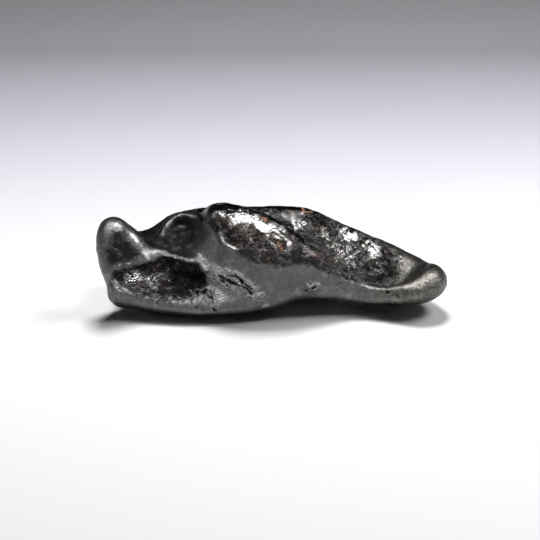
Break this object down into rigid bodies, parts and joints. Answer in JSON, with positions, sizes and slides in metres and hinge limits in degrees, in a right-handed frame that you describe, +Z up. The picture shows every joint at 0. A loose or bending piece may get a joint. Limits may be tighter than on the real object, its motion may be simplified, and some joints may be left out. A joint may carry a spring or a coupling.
{
  "type": "iron meteorite",
  "caption": "Small twisted iron meteorite with an upright horn at one end, a dished crown and a low tongue with a rolled rim; it rests on a flat spot on its belly.",
  "frame": {"origin": "centre of the bounding box in x and y, at the level of the flat spot that it rests on", "axes": "+X along its length towards the low rolled tip, +Y away from the side with the pit, +Z up"},
  "size_m": [0.0516, 0.0176, 0.0152],
  "materials": {
    "meteoritic_iron": "satin bare iron, worn bright on the ridges, brown-black oxide in the hollows, a few rust spots"
  },
  "bodies": {
    "root": {"iron_meteorite": "meteoritic_iron"}
  },
  "joints": []
}
